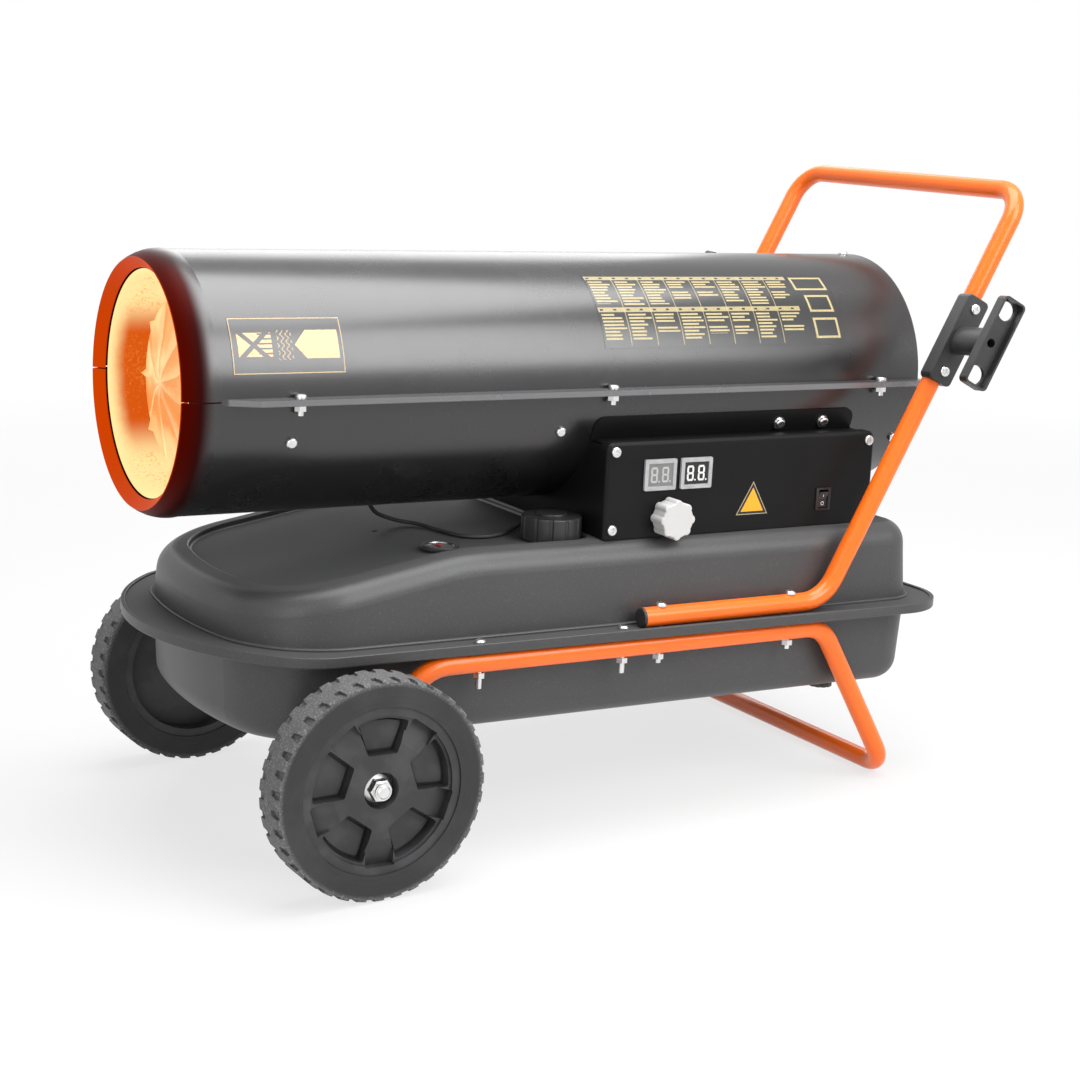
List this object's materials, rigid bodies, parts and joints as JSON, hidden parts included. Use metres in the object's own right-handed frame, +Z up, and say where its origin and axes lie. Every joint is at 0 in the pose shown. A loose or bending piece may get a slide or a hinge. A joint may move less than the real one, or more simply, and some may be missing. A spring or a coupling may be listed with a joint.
{
  "type": "portable oil-fired air heater",
  "caption": "Portable heater with a horizontal barrel and burner over a fuel tank, on wheels and a bent-tube frame, with a control panel, a push handle and cord hooks.",
  "frame": {"origin": "on the ground under the middle of the overall length and width", "axes": "+X towards the handle end, -X out of the hot-air mouth, +Y away from the control panel, +Z up"},
  "size_m": [0.8905, 0.5154, 0.6057],
  "materials": {
    "moulded_black": "satin grained",
    "wheel_grey": "matte",
    "tyre_rubber": "matte",
    "orange_paint": "gloss",
    "black_paint": "gloss powder coat",
    "motor_paint": "satin",
    "zinc_steel": "bright zinc",
    "heat_steel": "satin",
    "cast_aluminium": "cast",
    "nozzle_brass": "machined",
    "gauge_trim": "gloss",
    "ceramic_white": "gloss",
    "switch_black": "gloss",
    "board_green": "matte",
    "black_rubber": "matte"
  },
  "bodies": {
    "chassis": {"tank_base": "moulded_black", "tank_top": "moulded_black", "filler_neck": "moulded_black", "fuel_strainer": "zinc_steel", "fuel_gauge": "gauge_trim", "drain_plug": "moulded_black", "frame_tube": "orange_paint", "axle": "zinc_steel", "axle_spacers": "zinc_steel", "axle_nuts": "zinc_steel", "handle_tube": "orange_paint", "handle_end_plugs": "moulded_black", "frame_bolts": "zinc_steel", "hex_nuts": "zinc_steel", "upper_shell": "black_paint", "lower_shell": "black_paint", "seam_bolts": "zinc_steel", "heat_liner": "heat_steel", "combustion_chamber": "heat_steel", "stand_offs": "zinc_steel", "side_screws": "zinc_steel", "front_baffle": "heat_steel", "nozzle_adaptor": "cast_aluminium", "spray_nozzle": "nozzle_brass", "electrode": "ceramic_white", "photocell": "gauge_trim", "motor": "motor_paint", "motor_bracket": "motor_paint", "bracket_bolts": "zinc_steel", "pump_body": "cast_aluminium", "pump_cover": "cast_aluminium", "pressure_gauge": "gauge_trim", "air_hose": "black_rubber", "fuel_hose": "black_rubber", "rear_guard": "heat_steel", "sheet_screws": "zinc_steel", "base_box": "black_paint", "panel_cover": "black_paint", "displays": "switch_black", "thermostat": "switch_black", "switch_housing": "switch_black", "circuit_board": "board_green", "ignition_transformer": "motor_paint", "cable_gland": "moulded_black", "sensor_cable": "black_rubber", "cable_hooks": "moulded_black", "hook_screws": "zinc_steel"},
    "wheel_near": {"wheel_near": "wheel_grey", "tyre_near": "tyre_rubber", "bush_near": "wheel_grey"},
    "wheel_far": {"wheel_far": "wheel_grey", "tyre_far": "tyre_rubber", "bush_far": "wheel_grey"},
    "fan_rotor": {"fan": "cast_aluminium", "drive_shaft": "zinc_steel", "pump_rotor": "cast_aluminium"},
    "dial": {"thermostat_knob": "ceramic_white", "thermostat_shaft": "zinc_steel"},
    "rocker": {"switch_rocker": "switch_black"},
    "cap_seal": {"cap_gasket": "black_rubber"},
    "cap": {"fuel_cap": "moulded_black"}
  },
  "joints": [
    {"name": "wheel_near_spin", "type": "hinge", "parent": "chassis", "child": "wheel_near", "pos_m": [-0.31059, -0.2175, 0.1], "axis": [0, 1, 0], "continuous": true},
    {"name": "wheel_far_spin", "type": "hinge", "parent": "chassis", "child": "wheel_far", "pos_m": [-0.31059, 0.2175, 0.1], "axis": [0, 1, 0], "continuous": true},
    {"name": "fan_spin", "type": "hinge", "parent": "chassis", "child": "fan_rotor", "pos_m": [0.05319, 0, 0.41123], "axis": [0.9993, 0, -0.0371], "continuous": true},
    {"name": "thermostat_turn", "type": "hinge", "parent": "chassis", "child": "dial", "pos_m": [0.03726, -0.145, 0.29204], "axis": [0, 1, 0], "range_deg": [0, 270]},
    {"name": "switch_rock", "type": "hinge", "parent": "chassis", "child": "rocker", "pos_m": [0.22492, -0.142, 0.29279], "axis": [-0.9993, 0, 0.0371], "range_deg": [0, 16]},
    {"name": "cap_lift", "type": "slide", "parent": "chassis", "child": "cap_seal", "axis": [0.0371, 0, 0.9993], "range_m": [0, 0.0081]},
    {"name": "cap_turn", "type": "hinge", "parent": "cap_seal", "child": "cap", "pos_m": [-0.0654, -0.101, 0.28955], "axis": [0.0371, 0, 0.9993], "range_deg": [0, 720]}
  ],
  "couplings": [
    {"joint": "cap_lift", "follows": "cap_turn", "m_per_rad": 0.00063662}
  ]
}
